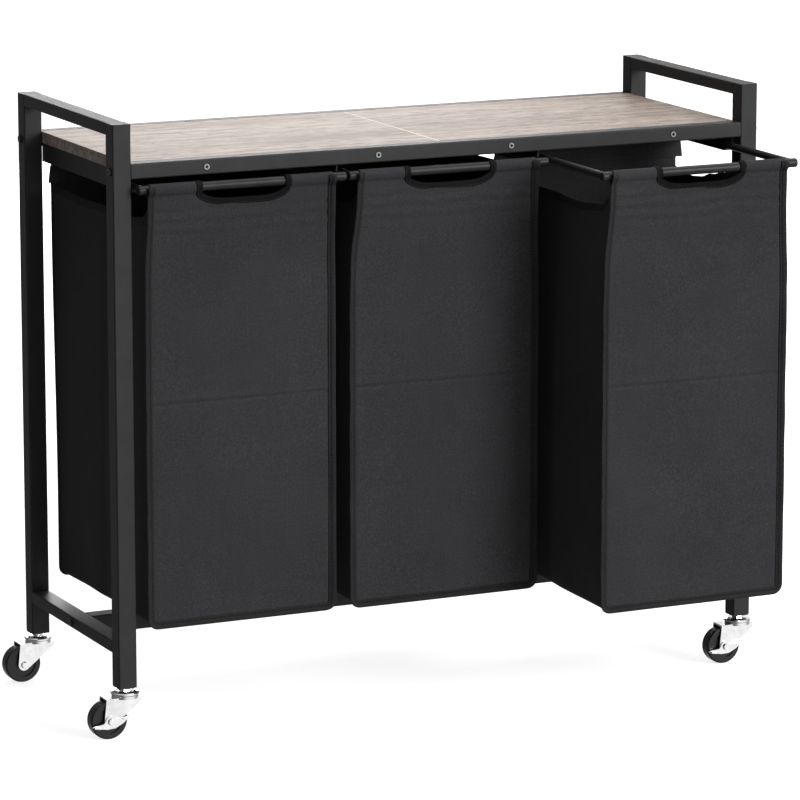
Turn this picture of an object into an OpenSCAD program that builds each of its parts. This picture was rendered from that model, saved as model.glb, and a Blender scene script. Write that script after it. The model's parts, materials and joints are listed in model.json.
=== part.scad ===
// Three-bag laundry sorter on swivel casters.
// A black square-tube frame carries a two-piece laminate shelf. Three open
// fabric bags hang by their rod frames from guide rails under the shelf and
// pull out to the front. Front is -Y, up is +Z, the floor is Z = 0.

/* [Frame] */
// Overall width of the steel frame
frame_w = 930; // [928:1:940]
// Overall depth of the steel frame
frame_d = 340; // [330:5:380]
// Height of the top bars above the floor
total_h = 800; // [780:10:840]
// Side of the square post tube
post_s = 25; // [24:0.5:26]
// Wall of all square and rectangular tubes
tube_wall = 1.2; // [1:0.1:1.5]
// Outer corner radius of the tubes
corner_r = 2; // [1.6:0.1:3]
// Side of the square rails under the shelf edges
rail_s = 20; // [18:1:22]
// Height of the flat side bars
side_bar_h = 16; // [14:1:20]
// Drop from the top bars to the shelf surface
shelf_drop = 51; // [45:1:70]
// Underside of the lower stretcher above the floor
stretcher_z = 100; // [95:1:102]

/* [Shelf] */
// Thickness of the shelf boards
board_t = 15; // [12:1:18]
// Gap between the two boards at the middle
seam = 0.5; // [0.2:0.1:1]

/* [Bags] */
// Distance between the centres of neighbouring bags
bag_pitch = 292; // [290:1:293]
// Width of the fabric body of each bag
bag_w = 264; // [256:1:264]
// Front face of the closed bags ahead of the frame centre
bag_front = 188; // [184:1:190]
// Underside of the bags above the floor
bag_z = 146; // [135:1:160]
// Height of the upper edge of the side panels
side_top_z = 669; // [640:1:675]
// How far the third bag stands pulled out
pulled_out = 145; // [0:5:200]
// Thickness of the fabric panels
fabric_t = 2; // [1.5:0.5:3]
// Width of the hand cut-out under the front rod
grip_w = 116; // [90:2:130]

/* [Casters] */
// Wheel diameter
wheel_d = 50; // [48:1:50]
// Wheel width
wheel_w = 18; // [16:1:18]
// Distance of the wheel axle behind the swivel axis
trail = 25; // [22:1:26]
// Tilt of the brake levers
lever_tilt = 0; // [-4:1:4]

/* [Hidden] */
$fn = 48;

steel_c = [0.2, 0.2, 0.2];
wood_c = [0.7, 0.64, 0.59];
fabric_c = [0.2, 0.2, 0.21];
zinc_c = [0.85, 0.85, 0.86];
black_c = [0.1, 0.1, 0.1];

post_z = 67;                          // underside of the posts
px = frame_w / 2 - post_s / 2;        // post centres
py = frame_d / 2 - post_s / 2;
xi = frame_w / 2 - post_s;            // inner faces of the posts
yi = frame_d / 2 - post_s;
shelf_z = total_h - shelf_drop;       // shelf surface and rail tops
rail_cz = shelf_z - rail_s / 2;
rail_y = frame_d / 2 - rail_s / 2;
yb = frame_d / 2 - rail_s - 0.5;      // half depth of the boards and guides
board_z = shelf_z - board_t;
stretcher_s = 25;
bar_z = stretcher_z + stretcher_s - side_bar_h;
stretcher_bolt_z = stretcher_z + 17;
screw_x = [-337, -96, 96, 337];

// bag frame
rod_r = 6;                            // front rod
srod_r = 5;                           // side and rear rods
sleeve_t = 1.2;
rod_y = bag_front - rod_r - sleeve_t; // front rod axis ahead of centre
rod_z = board_z - 18;                 // axes of all the rods
rod_half = bag_pitch / 2 - 1.8;       // half length of the front rod
srod_x = bag_pitch / 2 - 8;           // side rod axes
rear_y = 133;                         // rear rod axis behind centre
rear_face = rear_y + srod_r + 1;      // rear face of the fabric
bw = bag_w / 2;

// guide rails
flange_z = rod_z - srod_r - 0.4;      // upper face of the lower flange
guide_t = 1.6;
gx = xi - 2.5;                        // web of the end guides
g_reach = bag_pitch / 2 - bw - 2;     // flange reach towards the fabric
end_reach = 11.5;
hole_in = 6;                          // screw holes beside the web

// caster
wr = wheel_d / 2;
ear_in = wheel_w / 2 + 1.2;
ear_t = 2;
ear_out = ear_in + ear_t;
ring_r = 19;
stem_r = 4;
axle_r = 3;

// the outline of the whole object, which sets the origin
x_lo = -px - trail - wr;
x_hi = px + ring_r;
y_lo = -bag_front - pulled_out;
y_hi = py + ring_r;
ox = -(x_lo + x_hi) / 2;
oy = -(y_lo + y_hi) / 2;

module place() translate([ox, oy, 0]) children();

// a rectangle with true arcs at its corners
module rounded(w, d, r) {
  translate([-w / 2 + r, -d / 2]) square([w - 2 * r, d]);
  translate([-w / 2, -d / 2 + r]) square([w, d - 2 * r]);
  for (x = [-1, 1]) for (y = [-1, 1]) translate([x * (w / 2 - r), y * (d / 2 - r)]) circle(r = r);
}

// a rectangular tube standing on Z = 0, closed at the top when cap is true
module tube(w, d, h, cap = false) {
  difference() {
    linear_extrude(h) rounded(w, d, corner_r);
    translate([0, 0, -1]) linear_extrude(h + 2 - (cap ? 1 + tube_wall : 0))
      rounded(w - 2 * tube_wall, d - 2 * tube_wall, corner_r - tube_wall + 0.2);
  }
}
module along_x(w) translate([-w / 2, 0, 0]) rotate([0, 90, 0]) children();
module along_y(w) translate([0, w / 2, 0]) rotate([90, 0, 0]) children();
module xcyl(r, x0, x1) translate([x0, 0, 0]) rotate([0, 90, 0]) cylinder(r = r, h = x1 - x0);
module ycyl(r, y0, y1) translate([0, y0, 0]) rotate([-90, 0, 0]) cylinder(r = r, h = y1 - y0);

// a post, with the hole for the rail bolt through both side walls
module post(sx, sy) {
  color(steel_c) place() difference() {
    translate([sx * px, sy * py, post_z]) tube(post_s, post_s, total_h - post_z, true);
    translate([sx * px, sy * rail_y, rail_cz]) xcyl(3.2, -post_s, post_s);
  }
}

module top_bar(sx) {
  color(steel_c) place()
    translate([sx * px, 0, total_h - side_bar_h / 2])
      along_y(2 * yi) tube(post_s, side_bar_h, 2 * yi);
}

module lower_side_bars() {
  color(steel_c) place() for (sx = [-1, 1]) difference() {
    translate([sx * px, 0, bar_z + side_bar_h / 2])
      along_y(2 * yi) tube(post_s, side_bar_h, 2 * yi);
    translate([sx * px, 0, stretcher_bolt_z]) xcyl(3.2, -post_s, post_s);
  }
}

module rail(sy) {
  color(steel_c) place() difference() {
    translate([0, sy * rail_y, rail_cz]) along_x(2 * xi) tube(rail_s, rail_s, 2 * xi);
    for (x = screw_x) translate([x, sy * rail_y, rail_cz]) ycyl(2.2, -rail_s, rail_s);
  }
}

module lower_stretcher() {
  color(steel_c) place()
    translate([0, 0, stretcher_z + stretcher_s / 2])
      along_x(2 * xi) tube(stretcher_s, stretcher_s, 2 * xi);
}

// one shelf board, with the pilot holes for its edge screws
module board(sx) {
  color(wood_c) place() difference() {
    translate([sx > 0 ? seam / 2 : -(xi - 0.5), -yb, board_z])
      cube([xi - 0.5 - seam / 2, 2 * yb, board_t]);
    for (x = screw_x) if (x * sx > 0) for (sy = [-1, 1])
      translate([x, sy * yb, rail_cz]) ycyl(2.05, -22, 22);
  }
}

// guide rail: web, top flange screwed to the board, lower flange under the rods
module guide(x, lo, hi, hole) {
  color(steel_c) place() difference() {
    translate([x, 0, 0]) union() {
      translate([-1, -yb, flange_z - guide_t]) cube([2, 2 * yb, board_z - flange_z + guide_t]);
      translate([lo, -yb, flange_z - guide_t]) cube([hi - lo, 2 * yb, guide_t]);
      translate([lo, -yb, board_z - guide_t]) cube([hi - lo, 2 * yb, guide_t]);
    }
    for (y = [-110, 110]) translate([x + hole, y, board_z - guide_t - 1])
      cylinder(r = 2.1, h = guide_t + 2);
  }
}

module screw_y(head_r, head_h, r, len) {
  difference() {
    union() {
      ycyl(head_r, -head_h, 0);
      ycyl(r, -0.5, len);
    }
    translate([0, -head_h - 0.5, 0]) rotate([-90, 30, 0]) cylinder(r = head_r * 0.46, h = 1.7, $fn = 6);
  }
}

module rail_bolts() {
  color(black_c) place() for (sx = [-1, 1]) for (sy = [-1, 1])
    translate([sx * frame_w / 2, sy * rail_y, rail_cz]) rotate([0, 0, sx * 90])
      screw_y(5, 2.4, 3, post_s + 16);
}
module stretcher_bolts() {
  color(black_c) place() for (sx = [-1, 1])
    translate([sx * frame_w / 2, 0, stretcher_bolt_z]) rotate([0, 0, sx * 90])
      screw_y(5, 2.4, 3, post_s + 16);
}
module board_screws() {
  color(zinc_c) place() for (sy = [-1, 1]) for (x = screw_x)
    translate([x, sy * frame_d / 2, rail_cz]) rotate([0, 0, sy > 0 ? 180 : 0])
      screw_y(3.6, 1.4, 2, rail_s + 18);
}
module guide_screws() {
  color(zinc_c) place() for (x = [-gx + hole_in, -bag_pitch / 2 + hole_in, bag_pitch / 2 + hole_in, gx - hole_in])
    for (y = [-110, 110]) translate([x, y, board_z - guide_t]) {
      translate([0, 0, -1.8]) cylinder(r = 3.6, h = 1.8);
      cylinder(r = 2, h = guide_t);
    }
}

// plugs in the ends of the rails and the stretcher that take the bolts
module tube_end_inserts() {
  color(black_c) place() {
    for (sx = [-1, 1]) for (sy = [-1, 1]) difference() {
      translate([sx * (xi - 10), sy * rail_y, rail_cz])
        along_x(20) linear_extrude(20) rounded(rail_s - 2 * tube_wall - 0.2, rail_s - 2 * tube_wall - 0.2, 1.4);
      translate([sx * xi, sy * rail_y, rail_cz]) xcyl(3.05, -22, 22);
    }
    for (sx = [-1, 1]) difference() {
      translate([sx * (xi - 10), 0, stretcher_z + stretcher_s / 2])
        along_x(20) linear_extrude(20) rounded(stretcher_s - 2 * tube_wall - 0.2, stretcher_s - 2 * tube_wall - 0.2, 1.4);
      translate([sx * xi, 0, stretcher_bolt_z]) xcyl(3.05, -22, 22);
    }
  }
}

// ---------------------------------------------------------------- bags
// the rod frame and the fabric, drawn about the bag's own centre line
module bag_place(i) place()
  translate([i * bag_pitch, i == 1 ? -pulled_out : 0, 0]) children();

module front_rod(i) {
  color(steel_c) bag_place(i) translate([0, -rod_y, rod_z]) {
    xcyl(rod_r, -rod_half + 2, rod_half - 2);
    for (s = [-1, 1]) translate([s * (rod_half - 2), 0, 0]) rotate([0, s * 90, 0])
      rotate_extrude() intersection() {
        union() {
          translate([rod_r - 2, 0]) circle(r = 2);
          square([rod_r - 2, 2]);
        }
        square([rod_r, 2]);
      }
  }
}

module side_rods(i) {
  color(steel_c) bag_place(i) for (s = [-1, 1]) difference() {
    translate([s * srod_x, 0, rod_z]) ycyl(srod_r, -rod_y, rear_y + srod_r);
    translate([0, -rod_y, rod_z]) xcyl(rod_r, -200, 200);
  }
}

module rear_rod(i) {
  color(steel_c) bag_place(i) difference() {
    translate([0, rear_y, rod_z]) xcyl(srod_r - 0.5, -srod_x, srod_x);
    for (s = [-1, 1]) translate([s * srod_x, 0, rod_z]) ycyl(srod_r, -rod_y, rear_y + srod_r + 1);
  }
}

// front panel: a sheet that wraps the rod as two sleeves beside the hand cut-out
module front_panel(i) {
  gr = 14;
  color(fabric_c) bag_place(i) difference() {
    union() {
      translate([-bw, -bag_front, bag_z + 3]) cube([bag_w, fabric_t, rod_z - bag_z - 3]);
      translate([0, -rod_y, rod_z]) xcyl(rod_r + sleeve_t, -bw, bw);
    }
    translate([0, -rod_y, rod_z]) xcyl(rod_r + 0.05, -200, 200);
    translate([0, -bag_front - 1, 0]) rotate([-90, 0, 0]) linear_extrude(24) {
      for (s = [-1, 1]) translate([s * (grip_w / 2 - gr), -(rod_z - 3)]) circle(r = gr);
      translate([-grip_w / 2 + gr, -(rod_z + 20)]) square([grip_w - 2 * gr, 23 + gr]);
      translate([-grip_w / 2, -(rod_z + 20)]) square([grip_w, 23]);
    }
  }
}

// rear panel, with its sleeve round the rear rod and the wide closing flap
module rear_panel(i) {
  color(fabric_c) bag_place(i) difference() {
    union() {
      translate([-bw, rear_face - fabric_t, bag_z + 3]) cube([bag_w, fabric_t, rod_z - bag_z - 3]);
      translate([0, rear_y, rod_z]) xcyl(srod_r + 1, -srod_x + srod_r + 1, srod_x - srod_r - 1);
      translate([-bag_pitch / 2 + 2, rear_face - fabric_t, rod_z - 34])
        cube([bag_pitch - 4, fabric_t, 24]);
    }
    translate([0, rear_y, rod_z]) xcyl(srod_r - 0.45, -200, 200);
  }
}

// side panels: the upper edge runs low and rises to the front rod
module side_panels(i) {
  y0 = -bag_front + fabric_t;
  y1 = rear_face - fabric_t;
  color(fabric_c) bag_place(i) for (s = [-1, 1])
    translate([s > 0 ? bw - fabric_t : -bw, 0, 0])
      rotate([90, 0, 90]) linear_extrude(fabric_t)
        polygon([[y0, bag_z + 3], [y1, bag_z + 3], [y1, side_top_z], [y0 + 32, side_top_z],
                 [y0 + 14, side_top_z + 18], [y0 + 5, rod_z - rod_r - sleeve_t - 1.5], [y0, rod_z - rod_r - sleeve_t - 1.5]]);
}

module base(i) {
  color(fabric_c) bag_place(i)
    translate([-bw, -bag_front, bag_z]) cube([bag_w, bag_front + rear_face, 3]);
}

// ---------------------------------------------------------------- casters
module caster_place(sx, sy) place() translate([sx * px, sy * py, 0]) children();

module caster_sockets() {
  color(black_c) for (sx = [-1, 1]) for (sy = [-1, 1]) caster_place(sx, sy) difference() {
    union() {
      translate([0, 0, post_z - 1.5]) linear_extrude(1.5) rounded(post_s - 0.6, post_s - 0.6, 2);
      translate([0, 0, post_z - 0.5]) linear_extrude(30.5)
        rounded(post_s - 2 * tube_wall - 0.1, post_s - 2 * tube_wall - 0.1, 1.4);
    }
    translate([0, 0, post_z - 3]) cylinder(r = stem_r + 0.05, h = 40);
  }
}

// threaded stem with its hex collar, riveted under the fork plate
module caster_stems() {
  color(zinc_c) for (sx = [-1, 1]) for (sy = [-1, 1]) caster_place(sx, sy) {
    translate([0, 0, 50]) cylinder(r = stem_r, h = 42);
    translate([0, 0, 49.2]) cylinder(r = 6.5, h = 3);
    translate([0, 0, 61.8]) cylinder(r = 7.5, h = post_z - 1.5 - 61.8, $fn = 6);
  }
}

// pressed cup of the swivel bearing, fixed to the stem
module caster_bearing_rings() {
  color(zinc_c) for (sx = [-1, 1]) for (sy = [-1, 1]) caster_place(sx, sy)
    rotate_extrude() polygon([[stem_r + 0.02, 57.5], [ring_r, 57.5], [ring_r, 59.2], [ring_r - 1.2, 60.4],
                              [ring_r - 4.5, 61.0], [ring_r - 6, 61.8], [stem_r + 0.02, 61.8]]);
}

function tangent(c, r, p, side) =
  let (v = p - c, a = atan2(v[1], v[0]) - side * acos(r / norm(v))) c + r * [cos(a), sin(a)];

// swivel fork: two ears joined by a round plate, with the lower bearing cup
module fork(sx, sy) {
  c = [-trail, wr];
  t = tangent(c, 8, [ring_r - 1, 49], 1);
  u = tangent(c, 8, [-trail - 5, 54.5], -1);
  color(zinc_c) caster_place(sx, sy) difference() {
    union() {
      for (s = [-1, 1]) translate([0, s > 0 ? ear_out : -ear_in, 0]) rotate([90, 0, 0]) linear_extrude(ear_t) {
        polygon([u, c, t, [ring_r - 1, 49], [ring_r - 1, 54.5], [-trail - 5, 54.5]]);
        translate(c) circle(r = 8);
      }
      translate([-trail - 5, -ear_out, 52.5]) cube([trail + 5 + ring_r - 1, 2 * ear_out, 2]);
      translate([0, 0, 52.5]) cylinder(r = ring_r - 1, h = 2);
      rotate_extrude() polygon([[stem_r + 2, 54], [ring_r - 1, 54], [ring_r - 1, 56.2], [ring_r - 2, 57.1], [stem_r + 2, 57.1]]);
    }
    translate([0, 0, 40]) cylinder(r = stem_r + 0.05, h = 30);
    translate([-trail, 0, wr]) ycyl(axle_r, -30, 30);
  }
}

// axle bolt: its head stands outside the brake lever where there is one
module axle(sx, sy) {
  h = sy < 0 ? 2.4 : 0;
  color(zinc_c) caster_place(sx, sy) translate([-trail, 0, wr]) {
    ycyl(axle_r, -ear_out - h - 1, ear_out + 4);
    translate([0, -ear_out - h, 0]) rotate([90, 0, 0]) cylinder(r1 = 4.6, r2 = 3.6, h = 2.4);
    translate([0, ear_out, 0]) rotate([-90, 0, 0]) cylinder(r = 5.2, h = 3.4, $fn = 6);
  }
}

module wheel(sx, sy) {
  w = wheel_w / 2;
  color(black_c) caster_place(sx, sy) translate([-trail, 0, wr]) rotate([90, 0, 0])
    rotate_extrude($fn = 64) {
      polygon([[axle_r + 0.05, -w - 0.6], [7, -w - 0.6], [7, -w + 2.2], [wr - 7.5, -w + 2.2], [wr - 7.5, -w], [wr - 2.5, -w],
               [wr, -w + 2.5], [wr, w - 2.5], [wr - 2.5, w], [wr - 7.5, w], [wr - 7.5, w - 2.2],
               [7, w - 2.2], [7, w + 0.6], [axle_r + 0.05, w + 0.6]]);
      for (s = [-1, 1]) translate([wr - 2.5, s * (w - 2.5)]) circle(r = 2.5);
    }
}

// side brake: a wing-shaped lever on the axle, with a bent foot tab at each end
module brake_lever(sx, sy) {
  color(zinc_c) caster_place(sx, sy) translate([-trail, -ear_out - 0.3, wr]) rotate([0, -lever_tilt, 0]) difference() {
    union() {
      rotate([90, 0, 0]) linear_extrude(1.8) {
        circle(r = 7.2);
        polygon([[-25, -6.2], [-16, -8.2], [-5, -10], [6, -9.2], [17, -3.5], [25, 3.6],
                 [24.4, 6], [16, 3.6], [6.4, 3], [-6, 2.6], [-10, -2.4], [-17, -3.4], [-25.6, -4.4]]);
      }
      translate([15.5, -8, 2.2]) rotate([0, -14, 0]) cube([9.2, 7, 1.6]);
      translate([-25, -8, -5.7]) rotate([0, 10, 0]) cube([8.4, 7, 1.6]);
    }
    ycyl(axle_r + 0.05, -20, 20);
  }
}

post(-1, -1);  // post_front_left
post(1, -1);  // post_front_right
post(-1, 1);  // post_rear_left
post(1, 1);  // post_rear_right
top_bar(-1);  // top_bar_left
top_bar(1);  // top_bar_right
lower_side_bars();
rail(-1);  // front_rail
rail(1);  // rear_rail
lower_stretcher();
board(-1);  // shelf_board_left
board(1);  // shelf_board_right
guide(-gx, -1, end_reach, hole_in);  // guide_rail_left_end
guide(-bag_pitch / 2, -g_reach, g_reach, hole_in);  // guide_rail_left_middle
guide(bag_pitch / 2, -g_reach, g_reach, hole_in);  // guide_rail_right_middle
guide(gx, -end_reach, 1, -hole_in);  // guide_rail_right_end
rail_bolts();
stretcher_bolts();
board_screws();
guide_screws();
tube_end_inserts();
caster_sockets();
caster_stems();
caster_bearing_rings();
front_rod(-1);  // bag_left_front_rod
side_rods(-1);  // bag_left_side_rods
rear_rod(-1);  // bag_left_rear_rod
front_panel(-1);  // bag_left_front_panel
rear_panel(-1);  // bag_left_rear_panel
side_panels(-1);  // bag_left_side_panels
base(-1);  // bag_left_base
front_rod(0);  // bag_middle_front_rod
side_rods(0);  // bag_middle_side_rods
rear_rod(0);  // bag_middle_rear_rod
front_panel(0);  // bag_middle_front_panel
rear_panel(0);  // bag_middle_rear_panel
side_panels(0);  // bag_middle_side_panels
base(0);  // bag_middle_base
front_rod(1);  // bag_right_front_rod
side_rods(1);  // bag_right_side_rods
rear_rod(1);  // bag_right_rear_rod
front_panel(1);  // bag_right_front_panel
rear_panel(1);  // bag_right_rear_panel
side_panels(1);  // bag_right_side_panels
base(1);  // bag_right_base
fork(-1, -1);  // fork_front_left
axle(-1, -1);  // axle_front_left
wheel(-1, -1);  // wheel_front_left
brake_lever(-1, -1);  // brake_lever_front_left
fork(1, -1);  // fork_front_right
axle(1, -1);  // axle_front_right
wheel(1, -1);  // wheel_front_right
brake_lever(1, -1);  // brake_lever_front_right
fork(-1, 1);  // fork_rear_left
axle(-1, 1);  // axle_rear_left
wheel(-1, 1);  // wheel_rear_left
fork(1, 1);  // fork_rear_right
axle(1, 1);  // axle_rear_right
wheel(1, 1);  // wheel_rear_right
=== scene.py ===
import bmesh
import bpy
import json
import math
import numpy as np
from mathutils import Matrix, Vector, noise

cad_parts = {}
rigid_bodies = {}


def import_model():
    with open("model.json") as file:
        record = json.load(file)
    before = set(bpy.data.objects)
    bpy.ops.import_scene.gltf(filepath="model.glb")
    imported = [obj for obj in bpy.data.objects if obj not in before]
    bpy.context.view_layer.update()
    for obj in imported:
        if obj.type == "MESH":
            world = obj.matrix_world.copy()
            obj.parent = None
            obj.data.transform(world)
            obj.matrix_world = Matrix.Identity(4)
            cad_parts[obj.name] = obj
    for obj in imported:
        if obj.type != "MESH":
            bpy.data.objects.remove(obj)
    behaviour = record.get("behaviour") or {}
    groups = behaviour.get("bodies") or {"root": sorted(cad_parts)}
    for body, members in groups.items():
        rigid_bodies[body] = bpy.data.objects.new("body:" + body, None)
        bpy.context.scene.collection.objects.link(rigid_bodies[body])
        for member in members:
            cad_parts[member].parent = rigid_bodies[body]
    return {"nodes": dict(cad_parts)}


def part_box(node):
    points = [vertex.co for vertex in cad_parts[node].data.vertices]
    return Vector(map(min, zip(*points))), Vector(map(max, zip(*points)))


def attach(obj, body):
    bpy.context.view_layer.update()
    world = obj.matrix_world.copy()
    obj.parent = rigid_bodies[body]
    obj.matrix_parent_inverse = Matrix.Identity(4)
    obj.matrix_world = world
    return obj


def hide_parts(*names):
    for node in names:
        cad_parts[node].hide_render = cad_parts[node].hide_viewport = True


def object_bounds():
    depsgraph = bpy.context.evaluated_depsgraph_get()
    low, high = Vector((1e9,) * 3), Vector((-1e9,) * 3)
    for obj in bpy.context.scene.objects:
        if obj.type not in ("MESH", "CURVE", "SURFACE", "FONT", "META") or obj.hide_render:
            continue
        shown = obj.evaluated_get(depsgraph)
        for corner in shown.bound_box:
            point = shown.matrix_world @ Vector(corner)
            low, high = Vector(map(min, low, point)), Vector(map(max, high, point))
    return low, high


for o in list(bpy.data.objects):
    bpy.data.objects.remove(o, do_unlink=True)

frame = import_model()
bpy.context.view_layer.update()
cad_lo, cad_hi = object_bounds()
cad_lo, cad_hi = list(cad_lo), list(cad_hi)

# ------------------------------------------------------------------ places
# row frame = design frame + (OX, OY); the posts are centred on the design frame
pfl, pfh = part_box("post_front_left")
prl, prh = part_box("post_rear_right")
OX = (pfl.x + prh.x) / 2
OY = (pfl.y + prh.y) / 2
MM = 0.001


# ------------------------------------------------------------------ node helpers
class Mat:
    """A node material with the Principled shader, and short calls to build its inputs."""

    def __init__(self, name):
        self.m = bpy.data.materials.new(name)
        self.m.use_nodes = True
        self.t = self.m.node_tree
        self.b = self.t.nodes["Principled BSDF"]

    def n(self, kind, **props):
        node = self.t.nodes.new(kind)
        for k, v in props.items():
            setattr(node, k, v)
        return node

    def link(self, a, b):
        self.t.links.new(a, b)

    def set(self, name, value):
        self.b.inputs[name].default_value = value

    def coords(self, scale=(1, 1, 1), loc=(0, 0, 0), rot=(0, 0, 0), uv=None):
        if uv:
            src = self.n("ShaderNodeUVMap", uv_map=uv).outputs["UV"]
        else:
            src = self.n("ShaderNodeTexCoord").outputs["Object"]
        mp = self.n("ShaderNodeMapping")
        mp.inputs["Scale"].default_value = scale
        mp.inputs["Location"].default_value = loc
        mp.inputs["Rotation"].default_value = rot
        self.link(src, mp.inputs["Vector"])
        return mp.outputs["Vector"]

    def noise(self, vec, scale, detail=3.0, rough=0.55, dist=0.0):
        t = self.n("ShaderNodeTexNoise")
        t.inputs["Scale"].default_value = scale
        t.inputs["Detail"].default_value = detail
        t.inputs["Roughness"].default_value = rough
        t.inputs["Distortion"].default_value = dist
        self.link(vec, t.inputs["Vector"])
        return t.outputs["Fac"]

    def ramp(self, fac, stops):
        r = self.n("ShaderNodeValToRGB")
        e = r.color_ramp.elements
        while len(e) < len(stops):
            e.new(0.5)
        for el, (p, c) in zip(e, stops):
            el.position = p
            el.color = (c[0], c[1], c[2], 1) if hasattr(c, "__len__") else (c, c, c, 1)
        self.link(fac, r.inputs["Fac"])
        return r.outputs["Color"]

    def mix(self, fac, a, b, blend="MIX"):
        x = self.n("ShaderNodeMix", data_type="RGBA", blend_type=blend)
        for sock, v in ((x.inputs[0], fac), (x.inputs[6], a), (x.inputs[7], b)):
            if hasattr(v, "is_output"):
                self.link(v, sock)
            elif hasattr(v, "__len__"):
                sock.default_value = (v[0], v[1], v[2], 1)
            else:
                sock.default_value = v
        return x.outputs[2]

    def math(self, op, a, b=0.0, c=0.0):
        x = self.n("ShaderNodeMath", operation=op)
        for sock, v in zip(x.inputs, (a, b, c)):
            if hasattr(v, "is_output"):
                self.link(v, sock)
            else:
                sock.default_value = v
        return x.outputs[0]

    def bump(self, height, strength, distance, normal=None):
        x = self.n("ShaderNodeBump")
        x.inputs["Strength"].default_value = strength
        x.inputs["Distance"].default_value = distance
        self.link(height, x.inputs["Height"])
        if normal is not None:
            self.link(normal, x.inputs["Normal"])
        return x.outputs["Normal"]

    def to(self, sock, out):
        self.link(out, self.b.inputs[sock])


def powder_steel(name, dark, light, rough=0.5):
    """Black powder coat: fine orange-peel bump, a slightly mottled colour and gloss."""
    m = Mat(name)
    v = m.coords()
    n1 = m.noise(v, 35, 4, 0.6)
    m.to("Base Color", m.ramp(n1, [(0.3, dark), (0.7, light)]))
    n2 = m.noise(v, 260, 3, 0.6)
    m.to("Roughness", m.math("MULTIPLY_ADD", n2, 0.16, rough - 0.08))
    n3 = m.noise(v, 1300, 2, 0.5)
    m.to("Normal", m.bump(n3, 0.22, 0.0004))
    m.set("Specular IOR Level", 0.18)
    return m.m


def satin_rod(name):
    """Smoother black coating on the round rods."""
    m = Mat(name)
    v = m.coords()
    m.to("Base Color", m.ramp(m.noise(v, 60, 3), [(0.3, (0.013, 0.013, 0.0135)), (0.7, (0.02, 0.02, 0.0205))]))
    m.to("Roughness", m.math("MULTIPLY_ADD", m.noise(v, 300, 2), 0.14, 0.32))
    m.to("Normal", m.bump(m.noise(v, 900, 2), 0.12, 0.0003))
    m.set("Specular IOR Level", 0.15)
    return m.m


def zinc(name, lo=0.70, hi=0.86, rough=0.10):
    """Bright zinc plate on pressed steel: mirror-like with faint clouding and draw marks."""
    m = Mat(name)
    v = m.coords()
    n1 = m.noise(v, 70, 4, 0.6)
    m.to("Base Color", m.ramp(n1, [(0.3, (lo, lo, lo * 1.01)), (0.7, (hi, hi, hi * 1.01))]))
    m.set("Metallic", 1.0)
    m.to("Roughness", m.math("MULTIPLY_ADD", m.noise(v, 160, 3), 0.16, rough))
    m.to("Normal", m.bump(m.noise(m.coords((1, 1, 3)), 420, 2), 0.10, 0.0003))
    return m.m


def plastic(name, colour, rough, grain=500):
    """Moulded black plastic with a fine grain."""
    m = Mat(name)
    v = m.coords()
    c2 = tuple(x * 1.5 + 0.003 for x in colour)
    m.to("Base Color", m.ramp(m.noise(v, 90, 4), [(0.35, colour), (0.75, c2)]))
    m.to("Roughness", m.math("MULTIPLY_ADD", m.noise(v, 220, 3), 0.18, rough - 0.09))
    m.to("Normal", m.bump(m.noise(v, grain, 2), 0.15, 0.0003))
    m.set("Specular IOR Level", 0.34)
    return m.m


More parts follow.
